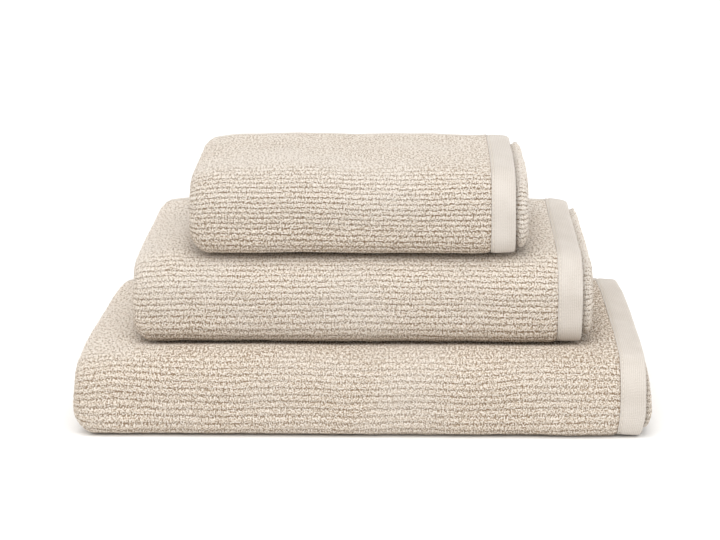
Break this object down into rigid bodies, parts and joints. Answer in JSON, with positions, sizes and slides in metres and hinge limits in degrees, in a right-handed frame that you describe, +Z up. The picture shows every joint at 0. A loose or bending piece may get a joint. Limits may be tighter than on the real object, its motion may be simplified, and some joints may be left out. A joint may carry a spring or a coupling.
{
  "type": "bath towel set",
  "caption": "Stack of folded terry bath towels, smallest on top, with ribbed looped pile, smooth woven end hems and a soft rounded front fold on each towel.",
  "frame": {"origin": "middle of the stack's base, where the lowest towel rests", "axes": "+X along the folded length, towards the visible end hems; +Z up; the smooth widthwise folds face -Y"},
  "size_m": [0.495, 0.2994, 0.2231],
  "materials": {
    "terry_cloth": "ribbed looped cotton pile, warm beige",
    "woven_hem": "flat woven cotton band, fine lengthwise lines, greyer cream",
    "sewing_thread": "twisted cotton lockstitch"
  },
  "bodies": {
    "bath_sheet": {"bath_sheet_terry": "terry_cloth", "bath_sheet_outer_end_hem": "woven_hem", "bath_sheet_outer_end_hem_stitches": "sewing_thread", "bath_sheet_inner_end_hem": "woven_hem", "bath_sheet_inner_end_hem_stitches": "sewing_thread", "bath_sheet_top_side_hem": "woven_hem", "bath_sheet_top_side_hem_stitches": "sewing_thread", "bath_sheet_inner_side_hem": "woven_hem", "bath_sheet_inner_side_hem_stitches": "sewing_thread"},
    "bath_towel": {"bath_towel_terry": "terry_cloth", "bath_towel_outer_end_hem": "woven_hem", "bath_towel_outer_end_hem_stitches": "sewing_thread", "bath_towel_inner_end_hem": "woven_hem", "bath_towel_inner_end_hem_stitches": "sewing_thread", "bath_towel_top_side_hem": "woven_hem", "bath_towel_top_side_hem_stitches": "sewing_thread", "bath_towel_inner_side_hem": "woven_hem", "bath_towel_inner_side_hem_stitches": "sewing_thread"},
    "hand_towel": {"hand_towel_terry": "terry_cloth", "hand_towel_outer_end_hem": "woven_hem", "hand_towel_outer_end_hem_stitches": "sewing_thread", "hand_towel_inner_end_hem": "woven_hem", "hand_towel_inner_end_hem_stitches": "sewing_thread", "hand_towel_top_side_hem": "woven_hem", "hand_towel_top_side_hem_stitches": "sewing_thread", "hand_towel_inner_side_hem": "woven_hem", "hand_towel_inner_side_hem_stitches": "sewing_thread"}
  },
  "joints": [
    {"name": "bath_towel_lift", "type": "slide", "parent": "bath_sheet", "child": "bath_towel", "axis": [0, 0, 1], "range_m": [0, 0.15]},
    {"name": "hand_towel_lift", "type": "slide", "parent": "bath_towel", "child": "hand_towel", "axis": [0, 0, 1], "range_m": [0, 0.15]}
  ]
}
